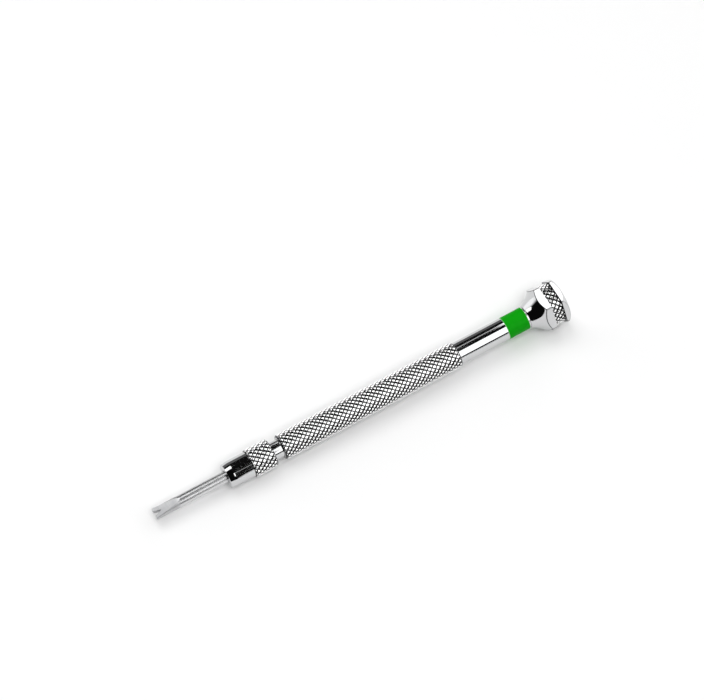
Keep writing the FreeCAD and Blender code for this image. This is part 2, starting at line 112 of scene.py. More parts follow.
# chuck nut
NUT_BORE = BLADE_RADIUS + 0.15 * MM
CONE_FRONT = NUT_FRONT + 1.2 * MM
CONE_REAR = CONE_FRONT + 3.2 * MM
CONE_MOUTH = NUT_BORE + 0.15 * MM
THREAD_RADIUS = STEM_THREAD + 0.05 * MM
SNAP_GROOVE_DEPTH = 0.25 * MM
SNAP_PLAY = 0.03 * MM
NUT_NOSE = THREAD_RADIUS + SNAP_GROOVE_DEPTH + 0.35 * MM
NUT_LIP = NUT_NOSE - 0.25 * MM
NUT_LIP_EDGE = 0.14 * MM
NUT_TAPER = 1.4 * MM
NUT_SHOULDER_EDGE = 0.25 * MM
NUT_KNURL_FRONT = NUT_FRONT + 6.0 * MM
NUT_CREST = NUT_NOSE + 0.35 * MM
NUT_CHAMFER = 0.25 * MM
NUT_STARTS = 18
NUT_KNURL_PITCH = 1.37 * MM

# handle
GRIP_REAR = GRIP_FRONT + 45.9 * MM
GRIP_HOLE = STEM_TAIL + FIT_GAP
GRIP_HOLE_REAR = STEM_REAR + 0.2 * MM
GRIP_CREST = GRIP_HOLE + 1.04 * MM
GRIP_CHAMFER = 0.35 * MM
GRIP_STARTS = 17
GRIP_KNURL_PITCH = 1.31 * MM
SHANK_RADIUS = GRIP_CREST - 0.37 * MM
SHANK_EDGE = 0.06 * MM
TAP_RADIUS = 0.91 * MM
TAP_DEPTH = 6.5 * MM
JOURNAL_RADIUS = TAP_RADIUS + 0.99 * MM

# colour ring
RING_RADIUS = SHANK_RADIUS
RING_BORE = JOURNAL_RADIUS + FIT_GAP
RING_EDGE = 0.1 * MM

# swivel head
SIXTH_TURN = math.pi / 3.0
ACROSS_FLATS = 10.05 * MM
CORNER_RADIUS = ACROSS_FLATS / math.sqrt(3.0) - 0.05 * MM
BELL_SMALL_END = 2.72 * MM
BELL_LENGTH = 3.67 * MM
BELL_CURVE = 10.0 * MM
FLANGE_REAR = HEAD_FRONT + 5.07 * MM
BAND_REAR = FLANGE_REAR + 2.6 * MM
BAND_CREST = ACROSS_FLATS / 2.0 - 0.175 * MM
BAND_STARTS = 24
BAND_KNURL_PITCH = 1.3 * MM
CAP_ROUNDING_LENGTH = 1.05 * MM
CAP_ROUNDING_DROP = 1.25 * MM
CAP_CURVE = 2.2 * MM
BUSH_SEAT = 1.91 * MM
CHAMBER_RADIUS = 2.5 * MM
HEAD_EASE = 0.035 * MM

# finger rest
REST_RADIUS = ACROSS_FLATS / 2.0 - 1.525 * MM
REST_SEAT = REST_RADIUS + FIT_GAP
REST_RIM = 0.35 * MM
REST_EDGE = 0.08 * MM
REST_MIDDLE = 0.4 * MM
DISH_DEPTH = 0.9 * MM
DISH_RIDGE = 0.012 * MM
DISH_RIDGE_PITCH = 0.3 * MM
DISH_MIDDLE = 0.05 * MM

# knurls: a groove's half width as a share of its pitch, its depth, the width of the painted shade
# at a band's rear edge, and grid steps in one diamond
GROOVE_HALF_WIDTH = 0.3
KNURL_DEPTH = 0.22 * MM
EDGE_SHADE_WIDTH = 0.22 * MM
DIAMOND_STEPS = 10

# how dark the painted shade lines are: on a turned edge, beside it, and along the hexagon's corners
EDGE_PAINTED_SHADE = 1.0
SIDE_PAINTED_SHADE = 0.6
CORNER_PAINTED_SHADE = 0.7

# meshes: columns of a plain piece, steps of an eased corner, and the places of the extra rows
# that hold the shading flat beside a corner
PLAIN_COLUMNS = 120
SHARP_ANGLE = math.radians(25.0)
EASE_STEPS = 5
EASE_HOLD = 1.8
HOLD = 0.3 * MM
SHORT_HOLD = 0.1 * MM


# ---------------------------------------------------------------- surfaces

def skin(name, points, closed=True, split=None, groove=None):
    """Mesh on a grid of points, rows along the outline and columns round the tool.

    Each cell is the quad (i, j), (i, j+1), (i+1, j+1), (i+1, j), which faces outwards when the
    outline runs from low X over the outside to high X.  split cuts a cell along its first (1) or
    its second (2) diagonal.  A closed outline joins its last row to its first; an open one is
    closed by a fan about the middle of each end row.  groove, 0 to 1, is kept on the points."""
    rows, columns = points.shape[:2]
    index = np.arange(rows * columns).reshape(rows, columns)
    here = index if closed else index[:-1]
    ahead = np.roll(index, -1, axis=0) if closed else index[1:]
    a, b = here, np.roll(here, -1, axis=1)
    d, c = ahead, np.roll(ahead, -1, axis=1)
    if split is None:
        split = np.zeros(a.shape, int)
    whole, first, second = split == 0, split == 1, split == 2
    faces = np.stack([a, b, c, d], -1)[whole].tolist()
    faces += np.stack([a, b, c], -1)[first].tolist() + np.stack([a, c, d], -1)[first].tolist()
    faces += np.stack([a, b, d], -1)[second].tolist() + np.stack([b, c, d], -1)[second].tolist()
    places = points.reshape(-1, 3)
    marks = np.zeros(len(places)) if groove is None else groove.ravel()
    if not closed:
        start, end = np.full(columns, len(places)), np.full(columns, len(places) + 1)
        front, rear = index[0], index[-1]
        faces += np.stack([start, np.roll(front, -1), front], -1).tolist()
        faces += np.stack([rear, np.roll(rear, -1), end], -1).tolist()
        places = np.vstack([places, points[0].mean(0), points[-1].mean(0)])
        marks = np.append(marks, [0.0, 0.0])
    mesh = bpy.data.meshes.new(name)
    mesh.from_pydata(places.tolist(), [], faces)
    # the groove value is what the finishes paint shade with
    mesh.attributes.new("groove", "FLOAT", "POINT").data.foreach_set("value", marks)
    mesh.shade_smooth()
    mesh.set_sharp_from_angle(angle=SHARP_ANGLE)
    piece = bpy.data.objects.new(name, mesh)
    bpy.context.scene.collection.objects.link(piece)
    return piece


def turned(station, radius, angle):
    """Points (x, r cos angle, axis height + r sin angle) of a surface about the tool's axis."""
    station, radius, angle = np.broadcast_arrays(station, radius, angle)
    return np.stack([station, radius * np.cos(angle), AXIS + radius * np.sin(angle)], axis=-1)


def around(columns):
    """Evenly spaced angles of one turn."""
    return np.arange(columns) * 2.0 * math.pi / columns


def all_round(radius, columns):
    """Radii of an outline, the same at every angle."""
    return np.repeat(radius[:, None], columns, axis=1)


def outline(corners):
    """Stations and radii of an outline whose corners (x, r, reach) are eased, bar the end ones.

    An eased corner C between its neighbours is the parabola (1-t)^2 A + 2t(1-t) C + t^2 B, where A
    and B are at the reach from C; one more point each side, a little further, holds the shading."""
    places = [np.array(corner[:2]) for corner in corners]
    made = []
    for i, corner in enumerate(corners):
        here, reach = places[i], corner[2]
        if reach == 0.0:
            made.append(here)
            continue
        back = places[i - 1] - here
        on = places[i + 1] - here
        back = back / np.hypot(*back)
        on = on / np.hypot(*on)
        made.append(here + back * reach * EASE_HOLD)
        for t in np.linspace(0.0, 1.0, EASE_STEPS + 1):
            made.append(here + back * reach * (1.0 - t) ** 2 + on * reach * t ** 2)
        made.append(here + on * reach * EASE_HOLD)
    return np.array(made).T


def knurl_rows(start, end, pitch):
    """Stations of a knurled length, with DIAMOND_STEPS steps to a diamond, and its exact pitch."""
    diamonds = max(1, round((end - start) / pitch))
    steps = diamonds * DIAMOND_STEPS
    return np.linspace(start, end, steps + 1), (end - start) / diamonds


def groove_distances(station, angle, start, pitch, starts):
    """Distance to the nearest groove of each of the two crossing families, in groove pitches.

    A groove follows x / pitch + n angle / 2 pi = a whole number, the other family has a minus."""
    along = (station - start) / pitch
    turn = starts * angle / (2.0 * math.pi)
    one = np.abs(along + turn - np.round(along + turn))
    other = np.abs(along - turn - np.round(along - turn))
    return one, other


def knurl(station, angle, start, pitch, starts):
    """Share of the groove's depth at each point: 1 in a groove's bottom, 0 on the flat diamonds."""
    one, other = groove_distances(station, angle, start, pitch, starts)
    return np.clip(1.0 - np.minimum(one, other) / GROOVE_HALF_WIDTH, 0.0, 1.0)


def knurl_split(station, angle, start, pitch, starts):
    """Which diagonal, 1 or 2, cuts each cell of a knurl: the one along the nearer groove family,
    so that the grooves' creases are edges of the mesh."""
    middle = (station[:-1] + station[1:]) / 2.0
    half_step = math.pi / angle.shape[-1]
    one, other = groove_distances(middle[:, None], angle[None, :] + half_step, start, pitch, starts)
    return np.where(one < other, 2, 1)


def rear_edge_shade(station, end):
    """Painted shade at a band's rear edge: none at the shaded width from the edge, full on it."""
    return np.clip(1.0 - (end - station) / EDGE_SHADE_WIDTH, 0.0, 1.0)[:, None]


def bevelled(station, start, end, crest, chamfer):
    """Radius of a band with a 45 degree bevel at both ends."""
    inward = np.minimum(station - start, end - station)
    return np.minimum(crest, crest - chamfer + inward)


def knurled_turning(name, ahead, band, behind, columns, closed):
    """A turned piece whose outline is plain, then knurled, then plain again.

    band is (start, end, crest, chamfer, pitch, starts); the knurled radius is the lower of the
    bevelled band and of the crest less the groove's depth."""
    start, end, crest, chamfer, pitch, starts = band
    stations, pitch = knurl_rows(start, end, pitch)
    angle = around(columns)
    depth = knurl(stations[:, None], angle[None, :], start, pitch, starts)
    profile = bevelled(stations, start, end, crest, chamfer)[:, None]
    cut = np.minimum(profile, crest - KNURL_DEPTH * depth)
    station = np.concatenate([ahead[0], stations, behind[0]])[:, None]
    radius = np.vstack([all_round(ahead[1], columns), cut, all_round(behind[1], columns)])
    first = len(ahead[0])
    last = first + len(stations) - 1
    groove = np.zeros(radius.shape)
    depth_share = np.minimum(1.0, (crest - cut) / KNURL_DEPTH)
    # painted shade: black in the grooves and at the band's rear edge, through the groove value
    groove[first:last + 1] = np.maximum(depth_share, rear_edge_shade(stations, end))
    split = np.zeros((len(radius) if closed else len(radius) - 1, columns), int)
    split[first:last] = knurl_split(stations, angle, start, pitch, starts)
    return skin(name, turned(station, radius, angle), closed, split, groove)


# ---------------------------------------------------------------- the pieces

def make_handle():
    """Knurled grip, polished shank and ring seat, with a hole at each end."""
    ahead = outline([
        (GRIP_HOLE_REAR, GRIP_HOLE, 0.0),
        (GRIP_FRONT, GRIP_HOLE, 0.0)])
    behind = outline([
        (GRIP_REAR, SHANK_RADIUS, 0.0),
        (GRIP_REAR + HOLD, SHANK_RADIUS, 0.0),
        (SHANK_REAR, SHANK_RADIUS, SHANK_EDGE),
        (SHANK_REAR, JOURNAL_RADIUS, 0.0),
        (RING_REAR, JOURNAL_RADIUS, 0.0),
        (RING_REAR, TAP_RADIUS, 0.0),
        (RING_REAR - TAP_DEPTH, TAP_RADIUS, 0.0)])
    band = (GRIP_FRONT, GRIP_REAR, GRIP_CREST, GRIP_CHAMFER, GRIP_KNURL_PITCH, GRIP_STARTS)
    return knurled_turning("grip_bar", ahead, band, behind, GRIP_STARTS * DIAMOND_STEPS, False)


def make_nut():
    """Polished nose, knurled band, and the inner cone, thread bore and snap ring groove."""
    groove_rear = SNAP_RING_REAR + SNAP_PLAY
    groove_front = SNAP_RING_FRONT - SNAP_PLAY
    ahead = outline([
        (NUT_FRONT, NUT_BORE, 0.0),
        (NUT_FRONT, NUT_BORE + HOLD, 0.0),
        (NUT_FRONT, NUT_LIP, NUT_LIP_EDGE),
        (NUT_FRONT + NUT_TAPER, NUT_NOSE, NUT_SHOULDER_EDGE),
        (NUT_KNURL_FRONT, NUT_NOSE, 0.0)])
    behind = outline([
        (NUT_REAR, THREAD_RADIUS, 0.0),
        (groove_rear, THREAD_RADIUS, 0.0),
        (groove_rear, THREAD_RADIUS + SNAP_GROOVE_DEPTH, 0.0),
        (groove_front, THREAD_RADIUS + SNAP_GROOVE_DEPTH, 0.0),
        (groove_front, THREAD_RADIUS, 0.0),
        (CONE_REAR, THREAD_RADIUS, 0.0),
        (CONE_FRONT, CONE_MOUTH, 0.0),
        (CONE_FRONT, NUT_BORE, 0.0)])
    band = (NUT_KNURL_FRONT, NUT_REAR, NUT_CREST, NUT_CHAMFER, NUT_KNURL_PITCH, NUT_STARTS)
    return knurled_turning("nut_shell", ahead, band, behind, NUT_STARTS * DIAMOND_STEPS, True)


def make_stem():
    """Threaded front with the collet's bore, polished neck and pressed tail.

    The thread is the radius R - depth * |2 frac(x / pitch - angle / 2 pi) - 1|, bevelled at the
    front and faded out over its last turn."""
    columns = 96
    steps_per_pitch = 12
    thread_rear = STEM_FRONT + STEM_THREAD_LENGTH
    steps = round(STEM_THREAD_LENGTH / THREAD_PITCH * steps_per_pitch)
    stations = np.linspace(STEM_FRONT, thread_rear, steps + 1)
    angle = around(columns)
    phase = (stations[:, None] - STEM_FRONT) / THREAD_PITCH - angle[None, :] / (2.0 * math.pi)
    ramp = np.abs(2.0 * (phase - np.floor(phase)) - 1.0)
    fade = np.clip((thread_rear - stations) / THREAD_PITCH, 0.0, 1.0)[:, None]
    profile = np.minimum(STEM_THREAD, STEM_THREAD - STEM_CHAMFER + stations - STEM_FRONT)
    thread = np.minimum(profile[:, None], STEM_THREAD - THREAD_DEPTH * ramp * fade)
    ahead = outline([
        (STEM_BORE_REAR, STEM_BORE, 0.0),
        (STEM_FRONT, STEM_BORE, 0.0)])
    behind = outline([
        (thread_rear, NECK_RADIUS, 0.0),
        (thread_rear + SHORT_HOLD, NECK_RADIUS, 0.0),
        (GRIP_FRONT, NECK_RADIUS, 0.0),
        (GRIP_FRONT, STEM_TAIL, 0.0),
        (STEM_REAR - STEM_CHAMFER, STEM_TAIL, 0.0),
        (STEM_REAR, STEM_TAIL - STEM_CHAMFER, 0.0)])
    station = np.concatenate([ahead[0], stations, behind[0]])[:, None]
    radius = np.vstack([all_round(ahead[1], columns), thread, all_round(behind[1], columns)])
    return skin("threaded_stem", turned(station, radius, angle), closed=False)


def make_ring():
    """Colour ring with eased edges."""
    station, radius = outline([
        (SHANK_REAR, RING_BORE, 0.0),
        (SHANK_REAR, RING_RADIUS, RING_EDGE),
        (RING_REAR, RING_RADIUS, RING_EDGE),
        (RING_REAR, RING_BORE, 0.0)])
    angle = around(PLAIN_COLUMNS)
    return skin("marker_ring", turned(station[:, None], radius[:, None], angle))


def make_finger_rest():
    """Plug with a dish, whose turned rings are a ripple of r in the dish's depth.

    The dish is an arc of a circle through its rim and its lowest point."""
    dish = REST_RADIUS - REST_RIM
    curve = (dish ** 2 + DISH_DEPTH ** 2) / (2.0 * DISH_DEPTH)
    outer = outline([
        (REST_FLOOR, REST_MIDDLE, 0.0),
        (REST_FLOOR, REST_RADIUS, 0.0),
        (REST_TOP, REST_RADIUS, REST_EDGE),
        (REST_TOP, dish, 0.0)])
    rings = 72
    inward = np.linspace(dish, DISH_MIDDLE, rings + 1)[1:]
    hollow = REST_TOP - DISH_DEPTH + curve - np.sqrt(curve ** 2 - inward ** 2)
    ripple = DISH_RIDGE * np.cos(2.0 * math.pi * inward / DISH_RIDGE_PITCH)
    station = np.concatenate([outer[0], hollow + ripple - DISH_RIDGE])
    radius = np.concatenate([outer[1], inward])
    angle = around(PLAIN_COLUMNS)
    return skin("dished_rest", turned(station[:, None], radius[:, None], angle), closed=False)


def hexagon_radius(angle):
    """Distance of the hexagon from the axis: half its width over the cosine of the angle from the
    nearest flat's middle, less what is turned off its corners.  A flat faces down."""
    from_flat = angle - math.pi / 2.0
    from_flat = from_flat - SIXTH_TURN * np.round(from_flat / SIXTH_TURN)
    return np.minimum(ACROSS_FLATS / 2.0 / np.cos(from_flat), CORNER_RADIUS)


def arc_station(radius, x_from, r_from, x_to, r_to, curve, hollow):
    """Station on an arc of that radius of curvature between two points of the head's outline."""
    middle = np.array([x_from + x_to, r_from + r_to]) / 2.0
    chord = np.array([x_to - x_from, r_to - r_from])
    length = np.hypot(*chord)
    reach = math.sqrt(curve ** 2 - length ** 2 / 4.0)
    side = np.array([-chord[1], chord[0]]) / length
    centre = middle + side * (reach if hollow else -reach)
    return centre[0] + np.sqrt(curve ** 2 - (radius - centre[1]) ** 2)


def bell_station(radius):
    """Station at which the hollow bell has that radius."""
    return arc_station(radius, HEAD_FRONT, BELL_SMALL_END, HEAD_FRONT + BELL_LENGTH,
                       CORNER_RADIUS, BELL_CURVE, True)


def cap_station(radius):
    """Station at which the cap's turned rounding has that radius."""
    return arc_station(radius, TOOL_END - CAP_ROUNDING_LENGTH, CORNER_RADIUS, TOOL_END,
                       CORNER_RADIUS - CAP_ROUNDING_DROP, CAP_CURVE, False)


def from_corner(angle):
    """Angle from the nearest of the hexagon's corners."""
    return angle - SIXTH_TURN * np.round(angle / SIXTH_TURN)


def corner_angles(even):
    """The even angles, but with those next to a corner moved to the hexagon's edges."""
    away = from_corner(even)
    edge = math.pi / 6.0 - math.acos(ACROSS_FLATS / 2.0 / CORNER_RADIUS)
    beside = np.isclose(np.abs(away), even[1])
    return np.where(beside, even - away + np.sign(away) * edge, even)


def painted_corner_shade(even):
    """Painted shade lines on the columns at the hexagon's corners, none between them."""
    return np.where(np.abs(from_corner(even)) < even[1] * 1.5, CORNER_PAINTED_SHADE, 0.0)


def make_head():
    """Swivel head: the lower of a turned outline and of a hexagon at every angle.

    The bell and the cap's rounding each end where they meet the hexagon, column by column, so
    that the crease is an edge of the mesh; rows close to a crease, counted in HEAD_EASE, ease it.
    Creases, corners and the band's two edges get painted shade lines."""
    even = around(BAND_STARTS * DIAMOND_STEPS)
    moved = corner_angles(even)
    flat = hexagon_radius(moved)
    # painted shade lines: the rows of the creases, corners and the band's edges carry a dark value
    corner = painted_corner_shade(even)
    ease = HEAD_EASE
    rows = []

    def row(station, radius, worn=0.0, angle=moved):
        rows.append(np.broadcast_arrays(station, radius, angle, worn))

    # the bell, out to its crease with the flats
    row(HEAD_FRONT, BUSH_SEAT)
    row(HEAD_FRONT, BELL_SMALL_END - 2.0 * ease)
    row(HEAD_FRONT, BELL_SMALL_END - ease)
    bell_steps = 18
    for share in np.linspace(0.0, 1.0, bell_steps + 1)[:-1]:
        radius = BELL_SMALL_END + (flat - BELL_SMALL_END) * share
        row(bell_station(radius) + (ease if share == 0.0 else 0.0), radius)
    row(bell_station(flat - 5.0 * ease), flat - 5.0 * ease)
    row(bell_station(flat - ease), flat - ease, EDGE_PAINTED_SHADE)
    crease = bell_station(flat)
    row(crease + ease, flat, EDGE_PAINTED_SHADE)
    row(crease + 4.0 * ease, flat, corner)

    # the flange's rear edge
    row(FLANGE_REAR - 2.0 * ease, flat, corner)
    row(FLANGE_REAR - ease, flat, SIDE_PAINTED_SHADE)
    row(FLANGE_REAR, flat - ease, EDGE_PAINTED_SHADE)
    row(FLANGE_REAR, flat - 2.0 * ease, EDGE_PAINTED_SHADE)

    # the knurled band
    stations, pitch = knurl_rows(FLANGE_REAR, BAND_REAR, BAND_KNURL_PITCH)
    depth = knurl(stations[:, None], even[None, :], FLANGE_REAR, pitch, BAND_STARTS)
    # painted shade: black in the band's grooves and at its rear edge
    knurl_shade = np.maximum(depth, rear_edge_shade(stations, BAND_REAR))
    first = len(rows)
    for station, share, dark in zip(stations, depth, knurl_shade):
        row(station, BAND_CREST - KNURL_DEPTH * share, dark, even)

    # the cap's front edge, its flats and its rounding
    row(BAND_REAR, flat - 2.0 * ease, EDGE_PAINTED_SHADE)
    row(BAND_REAR, flat - ease, EDGE_PAINTED_SHADE)
    row(BAND_REAR + ease, flat, SIDE_PAINTED_SHADE)
    row(BAND_REAR + 2.0 * ease, flat, corner)
    crease = cap_station(flat)
    row(crease - 3.0 * ease, flat, corner)
    row(crease - ease, flat, CORNER_PAINTED_SHADE)
    end_radius = CORNER_RADIUS - CAP_ROUNDING_DROP
    cap_steps = 8
    for share in np.linspace(0.0, 1.0, cap_steps + 1):
        radius = (flat - ease) + (end_radius - flat + ease) * share
        row(cap_station(radius), radius)

    # the cap's end, the rest's seat and the chamber
    row(TOOL_END, end_radius - 2.0 * ease)
    row(TOOL_END, REST_SEAT + 2.0 * ease)
    row(TOOL_END, REST_SEAT + ease)
    row(TOOL_END - ease, REST_SEAT)
    row(REST_FLOOR, REST_SEAT)
    row(REST_FLOOR, CHAMBER_RADIUS)
    row(CHAMBER_FRONT, CHAMBER_RADIUS)
    row(CHAMBER_FRONT, BUSH_SEAT)

    station, radius, angle, groove = (np.array([r[k] for r in rows]) for k in range(4))
    split = np.zeros(radius.shape, int)
    cells = knurl_split(stations, even, FLANGE_REAR, pitch, BAND_STARTS)
    split[first:first + len(cells)] = cells
    return skin("hexagon_head", turned(station, radius, angle), True, split, groove)


def make_blade():
    """Round blade with two ground flats that run out.

    The half thickness rises evenly from the tip to the radius; each section is the circle cut by
    the two flats, with its columns meeting their four edges at every station."""
    tail = rear_of("fork_blade")
    ground_rows, round_rows = 53, 40
    side_columns, flat_columns = 25, 14
    ground_rear = TIP + GRIND_LENGTH
    stations = np.concatenate([
        np.linspace(TIP, ground_rear, ground_rows),
        np.linspace(ground_rear + SHORT_HOLD, tail - BLADE_TAIL_CHAMFER, round_rows),
        [tail]])
    radius = np.minimum(BLADE_RADIUS, BLADE_RADIUS + tail - BLADE_TAIL_CHAMFER - stations)
    half = TIP_THICKNESS / 2.0
    half = half + (BLADE_RADIUS - half) * (stations - TIP) / GRIND_LENGTH
    edge = np.arcsin(np.clip(half / BLADE_RADIUS, 0.0, 1.0))[:, None]
    side = np.linspace(-1.0, 1.0, side_columns)[None, :] * edge
    across = np.linspace(1.0, -1.0, flat_columns + 2)[None, 1:-1] * np.cos(edge)
    height = np.sin(edge) * np.ones(flat_columns)[None, :]
    y = np.hstack([np.cos(side), across, -np.cos(side), -across]) * radius[:, None]
    z = np.hstack([np.sin(side), height, -np.sin(side), -height]) * radius[:, None]
    x = np.broadcast_to(stations[:, None], y.shape)
    piece = skin("ground_blade", np.stack([x, y, AXIS + z], axis=-1), closed=False)
    merge(piece)
    cut_away(piece, make_notch_cutter())
    bevel = piece.modifiers.new("edge_break", "BEVEL")
    bevel.width = BLADE_EDGE_BREAK
    bevel.segments = 2
    bevel.limit_method = "ANGLE"
    bevel.angle_limit = BLADE_EDGE_ANGLE
    apply_modifiers(piece)
    piece.data.shade_smooth()
    piece.data.set_sharp_from_angle(angle=SHARP_ANGLE)
    return piece


def make_notch_cutter():
    """Upright wedge with a rounded root, which cuts the fork's notch.

    Its straight sides go on past the tip by the overrun, at the notch's own slope."""
    half_mouth = NOTCH_MOUTH / 2.0
    shoulder = NOTCH_DEPTH - NOTCH_ROOT
    slope = (half_mouth - NOTCH_ROOT) / shoulder
    wide = half_mouth + slope * NOTCH_CUTTER_OVERRUN
    front = [-NOTCH_CUTTER_OVERRUN]
    root = np.linspace(-math.pi / 2.0, math.pi / 2.0, 13)
    x = np.concatenate([front, shoulder + NOTCH_ROOT * np.cos(root), front])
    y = np.concatenate([[-wide], NOTCH_ROOT * np.sin(root), [wide]])
    z = np.array([[-NOTCH_CUTTER_HALF_HEIGHT], [NOTCH_CUTTER_HALF_HEIGHT]])
    points = np.stack(np.broadcast_arrays(TIP + x, y, AXIS + z), axis=-1)
    return skin("notch_cutter", points, closed=False)


def merge(piece):
    """Joins points that lie together, where the flats run out to nothing."""
    work = bmesh.new()
    work.from_mesh(piece.data)
    bmesh.ops.remove_doubles(work, verts=work.verts, dist=0.0001 * MM)
    work.to_mesh(piece.data)
    work.free()


def apply_modifiers(piece):
    """Makes the piece's mesh what its modifiers show, and removes them."""
    shown = piece.evaluated_get(bpy.context.evaluated_depsgraph_get())
    mesh = bpy.data.meshes.new_from_object(shown)
    piece.modifiers.clear()
    piece.data = mesh


def cut_away(piece, cutter):
    """Takes the cutter's volume away from the piece."""
    boolean = piece.modifiers.new("cut", "BOOLEAN")
    boolean.operation = "DIFFERENCE"
    boolean.solver = "EXACT"
    boolean.object = cutter
    apply_modifiers(piece)
    bpy.data.objects.remove(cutter)


# ---------------------------------------------------------------- finishes

class Value:
    """A shader socket that carries a number; arithmetic on it adds the Math nodes."""

    def __init__(self, nodes, socket):
        self.nodes = nodes
        self.socket = socket

    def maths(self, operation, *terms):
        """A Math node on the terms."""
        return self.nodes.node("ShaderNodeMath", {"operation": operation}, dict(enumerate(terms)))

    def __add__(self, other):
        return self.maths("ADD", self, other)

    def __sub__(self, other):
        return self.maths("SUBTRACT", self, other)

    def __rsub__(self, other):
        return self.maths("SUBTRACT", other, self)

    def __mul__(self, other):
        return self.maths("MULTIPLY", self, other)

    __radd__ = __add__
    __rmul__ = __mul__

    def step(self, low, high):
        """0 before low, 1 past high, smooth between; low may be the larger."""
        return self.nodes.node("ShaderNodeMapRange", {"interpolation_type": "SMOOTHSTEP"},
                               {"Value": self, "From Min": low, "From Max": high})


class Nodes:
    """A node tree under construction."""

    def __init__(self, tree):
        self.tree = tree

    def node(self, kind, settings=None, inputs=None, output=0):
        """A new node: its settings first, then its sockets' values or links."""
        made = self.tree.nodes.new(kind)
        for key, value in (settings or {}).items():
            setattr(made, key, value)
        for key, value in (inputs or {}).items():
            self.feed(made.inputs[key], value)
        return Value(self, made.outputs[output])

    def feed(self, socket, value):
        """Links a value to a socket, or sets it."""
        if isinstance(value, Value):
            self.tree.links.new(value.socket, socket)
        else:
            socket.default_value = value

    def part(self, vector, letter):
        """One part, X, Y or Z, of a vector."""
        return self.node("ShaderNodeSeparateXYZ", {}, {0: vector}, output=letter)


class Finish(Nodes):
    """A material under construction: one Principled shader and the nodes that feed it."""

    def __init__(self, name, **constants):
        self.material = bpy.data.materials.new(name)
        self.material.use_nodes = True
        super().__init__(self.material.node_tree)
        self.shader = self.tree.nodes["Principled BSDF"]
        for key, value in constants.items():
            self.shader.inputs[key.replace("_", " ")].default_value = value

    def place(self, scale=(1.0, 1.0, 1.0)):
        """The point on the object, from the tool's axis, stretched."""
        here = self.node("ShaderNodeTexCoord", output="Object")
        return self.node("ShaderNodeMapping", {},
                         {"Vector": here, "Location": (0.0, 0.0, -AXIS * scale[2]),
                          "Scale": scale})

    def noise(self, scale, detail):
        """Noise with a feature size of about 1 / scale, in metres, along each axis."""
        return self.node("ShaderNodeTexNoise", {},
                         {"Vector": self.place(scale), "Scale": 1.0, "Detail": detail})

    def groove(self):
        """Painted shade at the point, from 0 to 1: its depth in a knurl's groove, or a dark edge
        line.
        """
        return self.node("ShaderNodeAttribute", {"attribute_name": "groove"}, output="Fac")

    def mix(self, one, other, share):
        """Colour between two."""
        return self.node("ShaderNodeMix", {"data_type": "RGBA"},
                         {0: share, 6: one, 7: other}, output=2)

    def bump(self, height, depth):
        """Raises the shaded surface by height times depth, in metres."""
        return self.node("ShaderNodeBump", {}, {"Height": height, "Distance": depth,
                                                "Strength": 1.0})

    def set(self, **links):
        """Feeds the shader's sockets."""
        for key, value in links.items():
            self.feed(self.shader.inputs[key.replace("_", " ")], value)
        return self.material


def grey(level):
    """Neutral colour."""
    return (level, level, level, 1.0)


def polished_chrome():
    """Mirror chrome: faint rings from polishing in the lathe, soft cloudiness, fine scratches,
    and painted shade: near black on the edge lines and in knurl grooves."""
    finish = Finish("polished_chrome", Metallic=1.0)
    rings = finish.noise((7000.0, 120.0, 120.0), detail=3.0)
    cloud = finish.noise((160.0, 260.0, 260.0), detail=3.0)
    scratch = finish.noise((500.0, 14000.0, 900.0), detail=1.0).step(0.72, 0.78)
    plate = finish.mix((0.58, 0.585, 0.595, 1.0), (0.63, 0.63, 0.635, 1.0), cloud)
    # painted shade: the plate goes near black with the groove value, on edge lines and in grooves
    colour = finish.mix(plate, (0.03, 0.03, 0.032, 1.0), finish.groove())
    return finish.set(
        Base_Color=colour,
        Roughness=0.03 + cloud * 0.03 + rings * 0.02 + scratch * 0.05,
        Normal=finish.bump(rings * 0.5 + scratch * -0.5, 0.0002 * MM))


def knurled_chrome():
    """The same plating over a cut knurl, with painted light: a brighter copy of the plating on the
    tops as a painted highlight, black painted shade in the grooves and at the band's rear edge, and
    cloudy all over."""
    finish = Finish("knurled_chrome", Metallic=1.0)
    depth = finish.groove()
    cloud = finish.noise((900.0, 900.0, 900.0), detail=3.0)
    # painted shade in the grooves, made uneven by the cloud
    knurl_shade = depth.step(0.25, 0.7) * (0.75 + cloud * 0.5)
    # painted highlight: the tops take a brighter copy of the plating than the polished chrome has
    colour = finish.mix((0.985, 0.985, 0.985, 1.0), (0.015, 0.015, 0.017, 1.0), knurl_shade)
    return finish.set(
        Base_Color=colour,
        Roughness=0.2 + cloud * 0.08,
        Normal=finish.bump(cloud, 0.002 * MM))


def ground_steel():
    """Satin blade steel: fine cross grinding on the flats, lengthwise draw marks on the round."""
    finish = Finish("ground_steel", Metallic=1.0)
    drawn = finish.noise((60.0, 9000.0, 9000.0), detail=3.0)
    cross = finish.noise((16000.0, 300.0, 300.0), detail=3.0)
    along = finish.part(finish.place(), "X")
    flat = 1.0 - along.step(TIP + GRIND_LENGTH * 0.75, TIP + GRIND_LENGTH)
    marks = drawn * (1.0 - flat) + cross * flat
    cloud = finish.noise((300.0, 500.0, 500.0), detail=4.0)
    stain = cloud - flat * marks * 0.8
    colour = finish.mix((0.46, 0.465, 0.475, 1.0), (0.76, 0.76, 0.765, 1.0), stain)
    return finish.set(
        Base_Color=colour,
        Roughness=0.2 + flat * 0.14 + marks * 0.12,
        Normal=finish.bump(marks, 0.0016 * MM))


def turned_metal(name, dark, light, roughness, depth):
    """Bare metal as it leaves the lathe: fine rings and slight stains."""
    finish = Finish(name, Metallic=1.0)
    rings = finish.noise((9000.0, 60.0, 60.0), detail=2.0)
    stain = finish.noise((700.0, 700.0, 700.0), detail=4.0)
    return finish.set(
        Base_Color=finish.mix(dark, light, stain),
        Roughness=roughness + rings * 0.1 + stain * 0.06,
        Normal=finish.bump(rings, depth))


